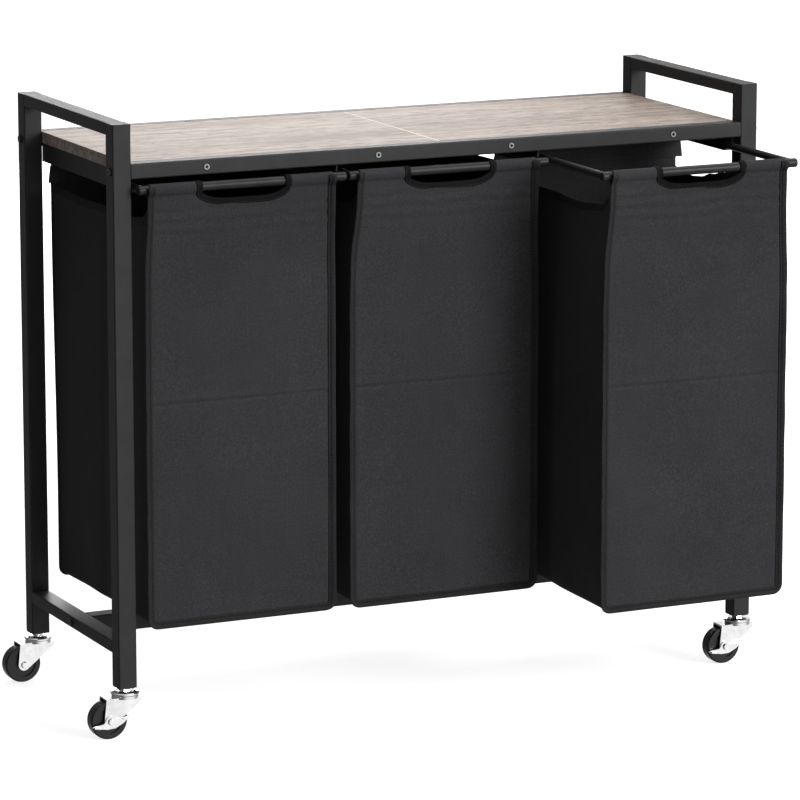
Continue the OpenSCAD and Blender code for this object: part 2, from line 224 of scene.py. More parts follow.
def wood(name, seed):
    """Greige oak laminate, grain along X: broad tone bands, cathedral figure, fine pores and pale chatter marks."""
    m = Mat(name)
    off = (seed * 3.7, seed * 1.3, 0)
    # broad bands, stretched along X
    broad = m.noise(m.coords((0.9, 13, 13), off), 1.6, 4, 0.55, 0.6)
    # cathedral figure: bands across Y bent by a slow noise
    wv = m.n("ShaderNodeTexWave", wave_type="BANDS", bands_direction="Y", wave_profile="SIN")
    wv.inputs["Scale"].default_value = 7.5
    wv.inputs["Distortion"].default_value = 9.0
    wv.inputs["Detail"].default_value = 3.0
    wv.inputs["Detail Scale"].default_value = 0.9
    wv.inputs["Detail Roughness"].default_value = 0.62
    m.link(m.coords((0.42, 1.5, 1.5), off), wv.inputs["Vector"])
    # fine straight grain and pores
    fine = m.noise(m.coords((5, 240, 240), off), 1.0, 5, 0.68, 0.25)
    pores = m.noise(m.coords((16, 620, 620), off), 1.0, 3, 0.7)
    # short dark flecks that run with the grain
    fleck = m.noise(m.coords((11, 95, 95), (off[0] + 5, off[1], 0)), 1.0, 4, 0.7, 0.4)
    base = m.ramp(broad, [(0.25, (0.226, 0.176, 0.147)), (0.45, (0.304, 0.242, 0.205)),
                          (0.60, (0.360, 0.291, 0.249)), (0.80, (0.292, 0.231, 0.194))])
    fig = m.ramp(wv.outputs["Fac"], [(0.0, 0.66), (0.22, 0.88), (0.55, 1.05), (1.0, 1.02)])
    c = m.mix(0.42, base, fig, "MULTIPLY")
    # broken streaks, a few centimetres long
    streak = m.noise(m.coords((38, 165, 165), (off[0], off[1] + 9, 0)), 1.0, 5, 0.72, 0.5)
    stk = m.ramp(streak, [(0.37, 0.42), (0.455, 0.88), (0.54, 1.04), (0.61, 1.22), (0.70, 1.5)])
    c = m.mix(0.85, c, stk, "MULTIPLY")
    fin = m.ramp(fine, [(0.30, 0.62), (0.47, 0.97), (0.62, 1.10), (0.78, 1.0)])
    c = m.mix(0.78, c, fin, "MULTIPLY")
    por = m.ramp(pores, [(0.33, 0.68), (0.46, 1.0), (1.0, 1.0)])
    c = m.mix(0.5, c, por, "MULTIPLY")
    flk = m.ramp(fleck, [(0.30, 0.50), (0.40, 0.96), (0.66, 1.0), (0.76, 1.20)])
    c = m.mix(0.75, c, flk, "MULTIPLY")
    # pale edge band where the two boards meet
    sx = m.n("ShaderNodeSeparateXYZ")
    m.link(m.n("ShaderNodeTexCoord").outputs["Object"], sx.inputs[0])
    off_x = m.math("ABSOLUTE", m.math("SUBTRACT", sx.outputs[0], OX))
    band = m.ramp(m.math("MULTIPLY", off_x, 200.0), [(0.0, 1.0), (0.22, 1.0), (0.34, 0.0), (1.0, 0.0)])
    c = m.mix(band, c, (0.66, 0.60, 0.54))
    m.to("Base Color", c)
    m.to("Roughness", m.math("MULTIPLY_ADD", fine, -0.18, 0.64))
    h = m.math("ADD", m.math("MULTIPLY", fine, 0.7), m.math("MULTIPLY", pores, 0.5))
    m.to("Normal", m.bump(h, 0.35, 0.0006))
    m.set("Specular IOR Level", 0.20)
    return m.m


def cloth(name, dark, light, rough=0.82, pitch=0.00115, weave=0.35, sheen=0.03, spec=0.12, groove_shade_at=None):
    """Coated oxford weave: crossing threads from the piece's own Weave map, with soft mottling and pale specks that are
    partly fine fleck of the cloth and partly painted highlight glints of the weave.
    """
    m = Mat(name)
    uv = m.coords(uv="Weave")
    sep = m.n("ShaderNodeSeparateXYZ")
    m.link(uv, sep.inputs[0])
    k = 2 * math.pi / pitch
    su = m.math("SINE", m.math("MULTIPLY", sep.outputs[0], k))
    sv = m.math("SINE", m.math("MULTIPLY", sep.outputs[1], k))
    thread = m.math("MULTIPLY_ADD", m.math("MULTIPLY", su, sv), 0.5, 0.5)
    v = m.coords()
    slub_u = m.noise(m.coords((9, 420, 1), uv="Weave"), 1.0, 2, 0.6)
    slub_v = m.noise(m.coords((420, 9, 1), (3.1, 0, 0), uv="Weave"), 1.0, 2, 0.6)
    slub = m.math("ADD", m.math("MULTIPLY", slub_u, 0.5), m.math("MULTIPLY", slub_v, 0.5))
    cloud = m.noise(v, 7, 4, 0.6)
    speck_and_glint = m.noise(v, 520, 2, 0.7)
    c = m.ramp(cloud, [(0.3, dark), (0.7, light)])
    c = m.mix(0.15, c, m.ramp(slub, [(0.38, 0.72), (0.5, 1.0), (0.62, 1.3)]), "MULTIPLY")
    # pale specks up to 1.75 times brighter: partly fine fleck of the cloth, partly painted highlight glints of the
    # weave
    c = m.mix(0.60, c, m.ramp(speck_and_glint, [(0.36, 0.62), (0.52, 1.0), (0.70, 1.75)]), "MULTIPLY")
    # painted shade: along a thin line at the given flat coordinate the colour drops to about a fifth, standing in for
    # the shade in the tape's sewn-in groove
    if groove_shade_at is not None:
        uv = m.n("ShaderNodeSeparateXYZ")
        m.link(m.coords(uv="Weave"), uv.inputs[0])
        off = m.math("ABSOLUTE", m.math("SUBTRACT", uv.outputs[0], groove_shade_at))
        c = m.mix(1.0, c, m.ramp(m.math("MULTIPLY", off, 400.0), [(0.0, 0.18), (0.30, 0.22), (0.50, 1.0), (1.0, 1.0)]), "MULTIPLY")
    c = m.mix(0.35, c, m.ramp(thread, [(0.0, 0.55), (0.6, 1.1)]), "MULTIPLY")
    m.to("Base Color", c)
    m.to("Roughness", m.math("MULTIPLY_ADD", speck_and_glint, 0.2, rough - 0.1))
    nb = m.bump(thread, weave, 0.00035)
    nb = m.bump(m.noise(v, 26, 4, 0.6), 0.25, 0.003, nb)
    m.to("Normal", nb)
    m.set("Specular IOR Level", spec)
    m.set("Sheen Weight", sheen)
    m.set("Sheen Roughness", 0.45)
    return m.m


M = {
    "frame_steel": powder_steel("frame_steel_coat", (0.0165, 0.0158, 0.0157), (0.0215, 0.0206, 0.0204)),
    "rod_steel": satin_rod("rod_satin_coat"),
    "shelf_left": wood("greige_oak_left", 1.0),
    "shelf_right": wood("greige_oak_right", 2.3),
    "bag_fabric": cloth("oxford_black", (0.0215, 0.0208, 0.0226), (0.0275, 0.0266, 0.0288)),
    # binding tape; its last value is the flat coordinate where the painted groove shade runs
    "binding": cloth("binding_tape", (0.0105, 0.0101, 0.0107), (0.0175, 0.0170, 0.0178), 0.7, 0.0008, 0.5, 0.02, 0.12, 0.1),
    "grip_tape": cloth("grip_tape", (0.0040, 0.0039, 0.0041), (0.0085, 0.0082, 0.0086), 0.8, 0.0008, 0.5, 0.0, 0.05),
    "thread": cloth("sewing_thread", (0.016, 0.016, 0.017), (0.028, 0.028, 0.029), 0.6, 0.0005, 0.3, 0.03, 0.2),
    "zinc": zinc("bright_zinc"),
    "screw_zinc": zinc("dull_zinc", 0.22, 0.34, 0.22),
    "black_bolts": plastic("black_oxide_bolts", (0.012, 0.012, 0.012), 0.38, 900),
    "black_plastic": plastic("black_socket_plastic", (0.012, 0.012, 0.012), 0.42),
    "caster_tyre": plastic("black_wheel_plastic", (0.0055, 0.0055, 0.006), 0.30, 350),
}

for name, ob in frame["nodes"].items():
    for s in ob.material_slots:
        slot = s.material.name.split(".")[0] if s.material else "frame_steel"
        if name == "board_screws":
            s.material = M["screw_zinc"]
        elif name == "shelf_board_left":
            s.material = M["shelf_left"]
        elif name == "shelf_board_right":
            s.material = M["shelf_right"]
        else:
            s.material = M.get(slot, M["frame_steel"])


def bevel(name, width, segments=2, angle=40):
    b = frame["nodes"][name].modifiers.new("edge", "BEVEL")
    b.width = width * MM
    b.segments = segments
    b.limit_method = "ANGLE"
    b.angle_limit = math.radians(angle)
    b.harden_normals = True


for side in ("left", "right"):
    bevel("shelf_board_" + side, 0.5)
for p in ("front_left", "front_right", "rear_left", "rear_right"):
    bevel("fork_" + p, 0.45)
    bevel("axle_" + p, 0.25)
for p in ("front_left", "front_right"):
    bevel("brake_lever_" + p, 0.45)
for p in ("caster_stems", "rail_bolts", "stretcher_bolts", "board_screws"):
    bevel(p, 0.3, 2, 35)


# ------------------------------------------------------------------ mesh helpers
def nz(x, y, z, s):
    """Smooth signed noise, the same every run."""
    return noise.noise(Vector((x * s + 11.3, y * s - 4.7, z * s + 7.9)))


def smooth(a, b, x):
    t = min(1.0, max(0.0, (x - a) / (b - a)))
    return t * t * (3 - 2 * t)


def curve_y(points, x):
    """Smooth interpolation through (x, y) points, flat beyond the ends."""
    if x <= points[0][0]:
        return points[0][1]
    for (x0, y0), (x1, y1) in zip(points, points[1:]):
        if x <= x1:
            return y0 + (y1 - y0) * smooth(x0, x1, x)
    return points[-1][1]


class Sheet:
    """Vertices in bag millimetres, quads, and the flat cloth coordinates of each vertex."""

    def __init__(self):
        self.v, self.f, self.w = [], [], []

    def add(self, p, w):
        self.v.append(p)
        self.w.append(w)
        return len(self.v) - 1

    def grid(self, rows, flip=False):
        for r0, r1 in zip(rows, rows[1:]):
            for a, b, c, d in zip(r0, r0[1:], r1[1:], r1):
                q = (a, b, c, d)
                self.f.append(q[::-1] if flip else q)


def sweep(sh, path, out, up, section, w0=0.0, closed=False):
    """Closed section of (out, up) points carried along a path, with capped ends."""
    rings, s = [], 0.0
    m = len(section)
    per = [0.0]
    for a, b in zip(section, section[1:] + section[:1]):
        per.append(per[-1] + math.dist(a, b))
    for i, (p, o, u) in enumerate(zip(path, out, up)):
        if i:
            s += (Vector(p) - Vector(path[i - 1])).length
        ring = []
        for j, (a, b) in enumerate(section):
            q = Vector(p) + Vector(o) * a + Vector(u) * b
            ring.append(sh.add(tuple(q), (w0 + per[j] * MM, s * MM)))
        rings.append(ring)
    for r0, r1 in zip(rings, rings[1:]):
        for j in range(m):
            k = (j + 1) % m
            sh.f.append((r0[j], r0[k], r1[k], r1[j]))
    if not closed:
        sh.f.append(tuple(rings[0][::-1]))
        sh.f.append(tuple(rings[-1]))


def stitch_line(sh, pts, normals, step=4.2, length=2.7, w=0.42, h=0.32, lift=0.0):
    """Short raised stitches along a line of points on the cloth."""
    P = [Vector(p) for p in pts]
    acc = [0.0]
    for a, b in zip(P, P[1:]):
        acc.append(acc[-1] + (b - a).length)
    total = acc[-1]
    if total < step:
        return
    k = int(total / step)
    idx = 0
    for i in range(k):
        s = (i + 0.5) * total / k
        ends = []
        for t in (s - length / 2, s, s + length / 2):
            t = min(max(t, 0.0), total - 1e-6)
            while idx > 0 and acc[idx] > t:
                idx -= 1
            while acc[idx + 1] < t:
                idx += 1
            r = (t - acc[idx]) / max(acc[idx + 1] - acc[idx], 1e-9)
            n = Vector(normals[idx]).lerp(Vector(normals[idx + 1]), r).normalized()
            ends.append((P[idx].lerp(P[idx + 1], r), n))
        d = (ends[2][0] - ends[0][0])
        if d.length < 1e-6:
            continue
        d.normalize()
        rings = []
        for (p, n), sc, li in zip(ends, (0.55, 1.0, 0.55), (-0.05, h, -0.05)):
            c = d.cross(n).normalized()
            base = p + n * lift
            ring = [base + c * w * sc + n * (li - 0.15), base + c * w * sc * 0.6 + n * (li + 0.18),
                    base - c * w * sc * 0.6 + n * (li + 0.18), base - c * w * sc + n * (li - 0.15)]
            rings.append([sh.add(tuple(q), ((s + j) * MM, j * 0.4 * MM)) for j, q in enumerate(ring)])
        for r0, r1 in zip(rings, rings[1:]):
            for j in range(4):
                q = (j + 1) % 4
                sh.f.append((r0[j], r0[q], r1[q], r1[j]))
        sh.f.append(tuple(rings[0][::-1]))
        sh.f.append(tuple(rings[-1]))


def build(sh, name, shift, mat, body, solid=0.0, subdiv=0, smooth_shade=True, fix=True):
    """A Blender object from a Sheet, moved into the row frame, riding on its body."""
    co = [((x + shift[0]) * MM + OX, (y + shift[1]) * MM + OY, z * MM) for x, y, z in sh.v]
    me = bpy.data.meshes.new(name)
    me.from_pydata(co, [], sh.f)
    me.update()
    uv = me.uv_layers.new(name="Weave")
    li = np.zeros(len(me.loops), np.int32)
    me.loops.foreach_get("vertex_index", li)
    uv.data.foreach_set("uv", np.array(sh.w, np.float32)[li].ravel())
    if smooth_shade:
        me.polygons.foreach_set("use_smooth", [True] * len(me.polygons))
    me.materials.append(M[mat])
    ob = bpy.data.objects.new(name, me)
    bpy.context.scene.collection.objects.link(ob)
    if fix:
        bm = bmesh.new()
        bm.from_mesh(me)
        bmesh.ops.recalc_face_normals(bm, faces=bm.faces)
        bm.to_mesh(me)
        bm.free()
    if subdiv:
        s = ob.modifiers.new("soft", "SUBSURF")
        s.levels = s.render_levels = subdiv
        s.boundary_smooth = "PRESERVE_CORNERS"
    if solid:
        s = ob.modifiers.new("cloth", "SOLIDIFY")
        s.thickness = solid * MM
        s.offset = 0.0
        s.use_even_offset = True
    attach(ob, body)
    return ob


# ------------------------------------------------------------------ the bags
ROD_Y, ROD_Z = -180.8, 716.0      # front rod axis
REAR_Y = 133.0                    # rear rod axis
SLEEVE_R = 6.75                   # middle of the sleeve cloth round the front rod
GRIP = 58.0                       # half width of the hand cut-out
TOP_Z = 708.0                     # where the front panel turns into its sleeve
R_C = 10.0                        # rounded lower corners

BAGS = {
    "left":   dict(i=-1, pull=0,    hw=129.5, hwt=127.0, cx=-3.6, cxt=-2.6, z0=146.5, zr=147.5, seed=1.0),
    "middle": dict(i=0,  pull=0,    hw=134.0, hwt=127.5, cx=-5.6, cxt=-2.4, z0=145.0, zr=147.0, seed=2.7),
    "right":  dict(i=1,  pull=-145, hw=133.5, hwt=127.0, cx=-3.6, cxt=-2.6, z0=138.5, zr=142.0, seed=4.1),
}

EDGE_R = [(-182, 707.5), (-120, 706), (-40, 705), (20, 700), (70, 692), (108, 686), (133, 682)]
EDGE_R_OUT = [(-182, 707.5), (-150, 705), (-100, 699), (-63, 694.5), (-33, 683.5), (4, 675.5), (43, 667.5), (74, 664.5),
              (94, 664), (133, 669)]
EDGE_L = [(-182, 707), (-170, 688), (-150, 675), (-87, 668), (0, 671), (60, 672), (133, 677)]


def make_bag(side, B):
    sd = B["seed"]
    shift = (B["i"] * 292.0, B["pull"], 0.0)
    body = "bag_" + side

    def half(z):
        return B["hw"] + (B["hwt"] - B["hw"]) * smooth(560, 700, z)

    def mid(z):
        return B["cx"] + (B["cxt"] - B["cx"]) * smooth(590, 700, z)

    def y_front(z):
        return -179.0 - 4.6 * smooth(600, 706, z)

    def z_low(y):
        """Underside of the bag at the seams: the cloth is a little slack from front to rear."""
        t = (y + 182) / 318.0
        return B["z0"] + (B["zr"] - B["z0"]) * t

    def outline(t, y, zt=TOP_Z):
        """Point and outward direction on the U seam at depth y; t from 0 left top, 1 right top."""
        z0 = z_low(y)
        straight = zt - (z0 + R_C)
        arc = R_C * math.pi / 2
        hwb = half(z0)
        flat = 2 * (hwb - R_C)
        total = 2 * straight + 2 * arc + flat
        s = t * total
        if s <= straight:
            z = zt - s
            return mid_at(z, y) - half_at(z, y), z, -1.0, 0.0
        s -= straight
        if s <= arc:
            a = s / R_C
            return mid(z0) - hwb + R_C - R_C * math.cos(a), z0 + R_C - R_C * math.sin(a), -math.cos(a), -math.sin(a)
        s -= arc
        if s <= flat:
            return mid(z0) - hwb + R_C + s, z0, 0.0, -1.0
        s -= flat
        if s <= arc:
            a = math.pi / 2 - s / R_C
            return mid(z0) + hwb - R_C + R_C * math.cos(a), z0 + R_C - R_C * math.sin(a), math.cos(a), -math.sin(a)
        s -= arc
        z = z0 + R_C + s
        return mid_at(z, y) + half_at(z, y), z, 1.0, 0.0

    def half_at(z, y):
        """Half width at depth y: the rear keeps the width of its rod near the top."""
        t = min(1.0, max(0.0, (y + 182) / 318.0))
        return half(z) + (136.5 - half(z)) * smooth(0.15, 1.0, t) * smooth(250, 640, z)

    def mid_at(z, y):
        t = min(1.0, max(0.0, (y + 182) / 318.0))
        return mid(z) * (1 - smooth(0.1, 1.0, t) * smooth(250, 640, z))

    # ---- front panel with its two sleeves
    sh = Sheet()
    zf = B["z0"]

    def ztop(x):
        a = abs(x)
        if a >= GRIP:
            return TOP_Z
        return 699.0 + (TOP_Z - 699.0) * (a / GRIP) ** 4.5

    def width_at(z):
        h = half(z)
        if z < zf + R_C:
            h = h - R_C + math.sqrt(max(R_C * R_C - (zf + R_C - z) ** 2, 0.0))
        return h

    def front_y(x, z, u):
        """Depth of the front cloth: hangs nearly flat, folded once across and drawn up under the rod."""
        y = y_front(z)
        e = 1 - abs(u)
        y += -0.9 * math.sin(math.pi * min(1, (z - zf) / 560.0)) * math.cos(u * math.pi / 2)
        y += 1.5 * nz(x, sd * 31, z, 1 / 170.0) * smooth(0, 0.12, e)
        y += 0.75 * nz(x, sd * 17, z, 1 / 60.0) * smooth(0, 0.1, e)
        # fold crease across, a shallow valley with a lip on each side
        zc = 436 + 1.2 * nz(x, sd, 0, 1 / 90.0)
        k = 0.75 + 0.35 * nz(x, sd * 5, 3, 1 / 45.0)
        y += k * (1.25 * math.exp(-((z - zc) / 1.9) ** 2) - 0.55 * math.exp(-((z - zc - 5.5) / 3.2) ** 2)
                  - 0.35 * math.exp(-((z - zc + 6) / 4.0) ** 2))
        # cross wrinkles under the sleeves
        wr = smooth(630, 672, z) * (1 - smooth(694, 704, z))
        y += wr * (0.75 * math.sin((z + 5 * nz(x, sd, z, 1 / 40.0)) * 2 * math.pi / 15.5)
                   * (0.45 + 0.9 * abs(nz(x, sd * 3, z * 0.4, 1 / 55.0))))
        # pull marks that fan out below the ends of the cut-out
        for g in (-1, 1):
            dx, dz = x - g * 60, 704 - z
            if 4 < dz < 95:
                a = math.atan2(dx, dz)
                y += -0.9 * math.exp(-(dz / 42.0)) * math.exp(-((a - g * 0.18) / 0.16) ** 2) * smooth(4, 16, dz)
        # puckers along the side seams
        if e < 0.10:
            y += 0.55 * (1 - e / 0.10) ** 2 * math.sin(z * 2 * math.pi / 11.5 + 2 * nz(0, sd, z, 1 / 30.0))
        # the cloth rolls back slightly to the seam
        y += 1.6 * (1 - smooth(0, 0.045, e))
        return y

    cols = sorted(set([round(-1 + 2 * k / 48, 5) for k in range(49)]))
    # columns as shares of the width; two of them follow the ends of the cut-out above z 600
    rows_z = []
    z = zf
    while z < TOP_Z - 0.5:
        rows_z.append(z)
        if z < zf + R_C:
            z += 1.7
        elif 424 < z < 448:
            z += 1.7
        elif z > 640:
            z += 3.4
        else:
            z += 6.5
    rows_z.append(TOP_Z)
    ug = GRIP / 127.0
    ncol = len(cols)
    gl = min(range(ncol), key=lambda k: abs(cols[k] + ug))
    gr = min(range(ncol), key=lambda k: abs(cols[k] - ug))

    def col_x(k, z):
        h, c = width_at(z), mid(z)
        x = c + cols[k] * h
        # bend the two columns to the cut-out's ends near the top
        f = smooth(600, 690, z)
        if f > 0:
            if k <= gl:
                a, b = cols[0], cols[gl]
                tgt = (c - h) + (cols[k] - a) / (b - a) * (-GRIP - (c - h))
            elif k >= gr:
                a, b = cols[gr], cols[-1]
                tgt = GRIP + (cols[k] - a) / (b - a) * ((c + h) - GRIP)
            else:
                a, b = cols[gl], cols[gr]
                tgt = -GRIP + (cols[k] - a) / (b - a) * 2 * GRIP
            x = x + (tgt - x) * f
        return x

    grid = []
    for z in rows_z:
        row = []
        for k in range(ncol):
            x = col_x(k, z)
            zz = z
            if z > 640:
                zz = 640 + (z - 640) * (ztop(x) - 640) / (TOP_Z - 640)
            y = front_y(x, zz, cols[k])
            row.append(sh.add((x, y, zz), (x * MM, zz * MM)))
        grid.append(row)
    sh.grid(grid)
    top = grid[-1]
    # the sleeves: up the front, over the rod, down behind, sewn back on the panel
    prof = [(-185.4, 709.6), (-187.0, 712.2)]
    for a in range(186, -21, -15):
        r = SLEEVE_R
        prof.append((ROD_Y + r * math.cos(math.radians(a)), ROD_Z + r * math.sin(math.radians(a))))
    prof += [(-175.6, 709.5), (-178.2, 705.0), (-180.6, 700.5), (-181.6, 696.0)]
    for k0, k1 in ((0, gl), (gr, ncol - 1)):
        rows = [[top[k] for k in range(k0, k1 + 1)]]
        d = 0.0
        last = (y_front(TOP_Z), TOP_Z)
        for j, (py_, pz_) in enumerate(prof):
            d += math.dist(last, (py_, pz_))
            last = (py_, pz_)
            row = []
            for k in range(k0, k1 + 1):
                x = sh.v[top[k]][0]
                wob = 0.35 * nz(x, pz_, sd * 9, 1 / 13.0) * (1 if 2 < j < len(prof) - 3 else 0.3)
                yy = ROD_Y + (py_ - ROD_Y) * (1 + 0.02 * max(0, wob))
                zz = ROD_Z + (pz_ - ROD_Z) * (1 + 0.02 * max(0, wob)) + (0.25 * wob if j < 2 else 0)
                row.append(sh.add((x, yy, zz), (x * MM, (TOP_Z + d) * MM)))
            rows.append(row)
        sh.grid(rows)
    front = build(sh, "bag_%s_front_cloth" % side, shift, "bag_fabric", body, 1.0, 1)
    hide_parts("bag_%s_front_panel" % side)

    # ---- gusset: both sides and the bottom in one strip, sagging between the seams
    sh = Sheet()
    ys = [(-178 + 316.0 * k / 40) for k in range(41)]
    nst, narc, nfl = 62, 6, 26
    edge_pts = {-1: EDGE_L, 1: EDGE_R_OUT if B["pull"] else EDGE_R}

    def edge_z(g, y):
        # The three bags hang alike, each with its own slack
        return curve_y(edge_pts[g], y) + 2.0 * nz(y, sd * 7, g * 5, 1 / 60.0) * smooth(-165, -120, y)

    def side_in(g, y, z):
        """How far the side is drawn in between the front and rear seams."""
        t = (y + 182) / 318.0
        arch = math.sin(math.pi * min(1, max(0, t))) ** 0.8
        up = smooth(200, 690, z)
        d = arch * (2.0 + 7.5 * up ** 1.6)
        d += arch * (2.6 * nz(y, z, sd * 3 + g, 1 / 130.0) + 1.1 * nz(y, z, sd * 5 + g, 1 / 45.0))
        # a soft vertical fold half way, where the side was folded flat in its box
        d += arch * 1.6 * math.exp(-((y + 22) / 9.0) ** 2) * (0.6 + 0.4 * up)
        return d

    grid = []
    for y in ys:
        z0 = z_low(y)
        row = []
        dist = 0.0
        sag = 5.0 * math.sin(math.pi * min(1, max(0, (y + 182) / 318.0)))
        t_y = math.sin(math.pi * min(1, max(0, (y + 182) / 318.0)))
        pts = []
        hb, cb = half(z0), mid(z0)
        for g in (-1, 1):
            line = []
            ze = edge_z(g, y)
            for k in range(nst + 1):
                z = ze + (z0 + R_C - ze) * k / nst
                x = mid_at(z, y) + g * (half_at(z, y) - 0.8 - side_in(g, y, z))
                line.append((x, y, z))
            arc = []
            xb = mid_at(z0 + R_C, y) + g * (half_at(z0 + R_C, y) - 0.8 - side_in(g, y, z0 + R_C))
            for k in range(1, narc + 1):
                a = k / narc * math.pi / 2
                arc.append((xb - g * R_C * (1 - math.cos(a)), y, z0 + R_C - R_C * math.sin(a)))
            line += arc
            pts.append(line if g < 0 else line[::-1])
        xl, xr = pts[0][-1][0], pts[1][0][0]
        flat = []
        for k in range(1, nfl):
            u = k / nfl
            x = xl + (xr - xl) * u
            s = math.sin(math.pi * u)
            z = z0 - sag * s ** 0.8 * 0.9 - 1.3 * t_y * nz(x, y, sd * 4, 1 / 55.0) * s
            # the stiffened bottom shows its fold across the middle
            z += 0.8 * t_y * math.exp(-((x - cb) / 4.0) ** 2)
            flat.append((x, y, z))
        allp = pts[0] + flat + pts[1]
        for j, p in enumerate(allp):
            if j:
                dist += math.dist(allp[j - 1], p)
            row.append(sh.add(p, (y * MM, dist * MM)))
        grid.append(row)
    # bring the first row onto the seam with the front cloth
    for j, idx in enumerate(grid[0]):
        x, y, z = sh.v[idx]
        sh.v[idx] = (x, y_front(z) + 1.0, z)
    sh.grid(grid)
    gus = build(sh, "bag_%s_side_and_base_cloth" % side, shift, "bag_fabric", body, 1.1, 1)
    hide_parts("bag_%s_side_panels" % side, "bag_%s_base" % side)
    gpts, ggrid = sh.v, grid

    # ---- rear panel and its sleeve round the rear rod
    sh = Sheet()
    zr = B["zr"]
    grid = []
    nz_rows = 74
    for r in range(nz_rows + 1):
        z = zr + (699 - zr) * (r / nz_rows)
        h = half_at(z, 137)
        if z < zr + R_C:
            h = h - R_C + math.sqrt(max(R_C * R_C - (zr + R_C - z) ** 2, 0.0))
        h -= 5.0 * smooth(698.4, 699, z)
        row = []
        for k in range(37):
            u = -1 + 2 * k / 36
            x = mid_at(z, 137) + u * h
            e = 1 - abs(u)
            y = 137.2 + 1.6 * nz(x, sd * 13, z, 1 / 150.0) * smooth(0, 0.12, e) \
                + 0.7 * nz(x, sd * 19, z, 1 / 50.0) * smooth(0, 0.1, e)
            zc = 436 + 1.5 * nz(x, sd + 4, 0, 1 / 80.0)
            y -= 0.9 * math.exp(-((z - zc) / 4.0) ** 2)
            y -= 1.3 * (1 - smooth(0, 0.045, e))
            row.append(sh.add((x, y, z), (x * MM, z * MM)))
        grid.append(row)
    sh.grid(grid)
    prof = [(138.4, 706), (139.0, 712)]
    for a in range(0, 196, 15):
        prof.append((REAR_Y + 5.9 * math.cos(math.radians(a)), ROD_Z + 5.9 * math.sin(math.radians(a))))
    prof += [(128.4, 710.5), (131.4, 704.5), (134.3, 698.0), (135.0, 690.0), (135.3, 684.0)]
    rows = [grid[-1]]
    d = 0.0
    last = (137.2, 699)
    for py_, pz_ in prof:
        d += math.dist(last, (py_, pz_))
        last = (py_, pz_)
        rows.append([sh.add((sh.v[i][0], py_, pz_), (sh.v[i][0] * MM, (699 + d) * MM)) for i in grid[-1]])
    sh.grid(rows)
    rear = build(sh, "bag_%s_rear_cloth" % side, shift, "bag_fabric", body, 1.0, 1)
    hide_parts("bag_%s_rear_panel" % side)

    # ---- the wide band sewn along the rear mouth, a doubled strip with slanted ends
    sh = Sheet()
    sec = [(0.0, 0.0)]
    rows = []
    nx = 60
    for r, (z, hx) in enumerate(((706.2, 141.6), (704.5, 142.0), (701, 142.7), (696, 143.4), (691, 144.0), (686.5, 144.6),
                                 (683.2, 145.1), (682.0, 145.3))):
        row = []
        for k in range(nx + 1):
            u = -1 + 2 * k / nx
            x = u * hx
            y = 134.0 + 0.8 * nz(x, z, sd * 21, 1 / 45.0) + 0.5 * math.sin(x / 9.0 + sd) * (707 - z) / 40.0 \
                - 1.0 * max(0, abs(u) - 0.9) * 10
            if abs(x) > 131:
                y = y - 0.0
            row.append(sh.add((x, y - 0.6, z), (x * MM, z * MM)))
        rows.append(row)
    sh.grid(rows)
    build(sh, "bag_%s_mouth_band" % side, shift, "bag_fabric", body, 1.5, 1)

    # ---- bindings: the folded tape on the front and rear seams
    sh = Sheet()
    st = Sheet()

    def rim(y_of, fwd, t0, t1, n, base_in, tilt, ln, th, zt):
        path, outs, ups, line, lnorm = [], [], [], [], []
        for k in range(n + 1):
            t = t0 + (t1 - t0) * k / n
            ydir = y_of(700)
            x, z, ox, oz = outline(t, ydir, zt)
            y = y_of(z)
            ang = math.radians(tilt + 9 * nz(t * 900, sd * 3, fwd * 5, 1 / 22.0))
            o = Vector((ox * math.cos(ang), fwd * math.sin(ang), oz * math.cos(ang)))
            up = Vector((-ox * math.sin(ang), fwd * math.cos(ang), -oz * math.sin(ang)))
            p = Vector((x - ox * base_in, y, z - oz * base_in))
            p += up * 0.35 * nz(t * 900, 9, sd, 1 / 6.0)
            path.append(p)
            outs.append(o)
            ups.append(up)
            line.append(p + o * (ln * 0.36) + up * (th * 0.22))
            lnorm.append(up)
        # the section has a sewn-in groove; its flat coordinate is always 0.100, where the tape's colour is darkened
        # with painted shade for the groove
        h = th / 2
        sec = [(0, -h * 0.7), (ln * 0.30, -h), (ln * 0.72, -h * 1.05), (ln * 0.93, -h * 0.75), (ln, 0.0),
               (ln * 0.93, h * 0.75), (ln * 0.72, h * 1.05), (ln * 0.46, h), (ln * 0.36, h * 0.25), (ln * 0.26, h),
               (0, h * 0.7)]
        along = sum(math.dist(a, b) for a, b in zip(sec[:8], sec[1:9]))
        sweep(sh, path, outs, ups, sec, 0.1 - along * MM)
        stitch_line(st, line, lnorm, lift=0.05)

    def yr(z):
        return 137.6

    n_rim = 420

    def yf(z):
        """The front tape follows the cloth, then the outside of the sleeve, up over the rod."""
        if z < 704:
            return y_front(z) - 0.2
        s = math.sqrt(max(8.6 ** 2 - (z - ROD_Z) ** 2, 0.0))
        a = smooth(704, 711, z)
        return (1 - a) * (y_front(z) - 0.2) + a * (ROD_Y - s)

    rim(yf, -1.0, 0.0, 1.0, n_rim, 7.0, 15, 11.0, 2.3, 721.5)
    rim(yr, 1.0, 0.0, 1.0, n_rim, 3.2, 20, 6.4, 2.2, 706.0)

